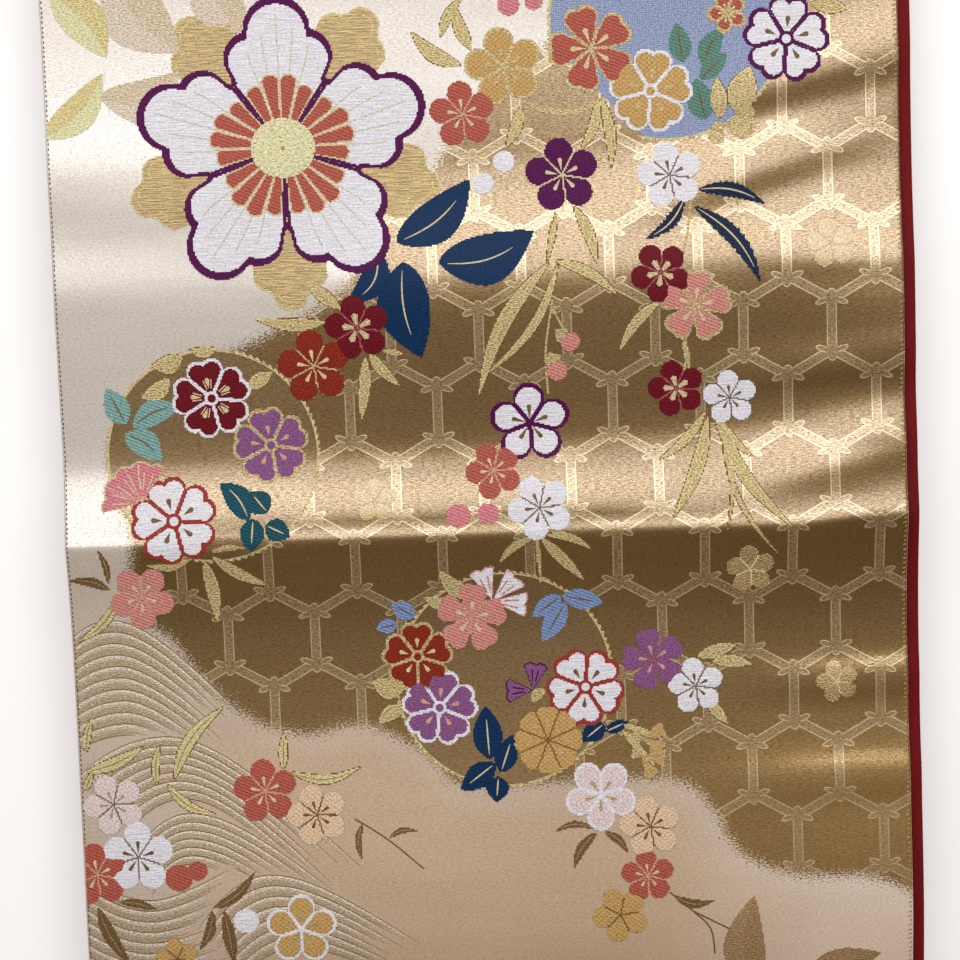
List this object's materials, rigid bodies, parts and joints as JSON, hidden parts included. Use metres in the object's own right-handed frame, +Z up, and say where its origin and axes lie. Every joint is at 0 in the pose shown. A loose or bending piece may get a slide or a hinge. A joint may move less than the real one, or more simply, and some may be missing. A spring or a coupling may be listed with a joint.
{
  "type": "folded obi sash",
  "caption": "Folded obi sash: a broad brocade face sewn to a plain crimson back, folded in half repeatedly and laid flat with the turned cloth showing along one edge.",
  "frame": {"origin": "centre of the flat underside, where the folded sash rests on the table", "axes": "+X across the sash to the edge where the turned crimson cloth shows, +Y along the sash to the far fold, +Z up out of the table"},
  "size_m": [0.315, 0.55, 0.032],
  "materials": {
    "brocade": "gold and cream silk brocade, satin sheen, woven lattice, water lines and blossoms",
    "crimson_cloth": "plain dark crimson silk, soft matt",
    "turned_crimson_cloth": "plain dark crimson silk, soft matt",
    "turned_brocade": "gold silk brocade seen only at its cut edges",
    "layered_cloth": "stacked edges of gold brocade and crimson silk"
  },
  "bodies": {
    "root": {"top_face_cloth": "brocade", "top_back_cloth": "crimson_cloth", "turned_back_cloth": "turned_crimson_cloth", "turned_face_cloth": "turned_brocade", "folded_layers": "layered_cloth"}
  },
  "joints": []
}
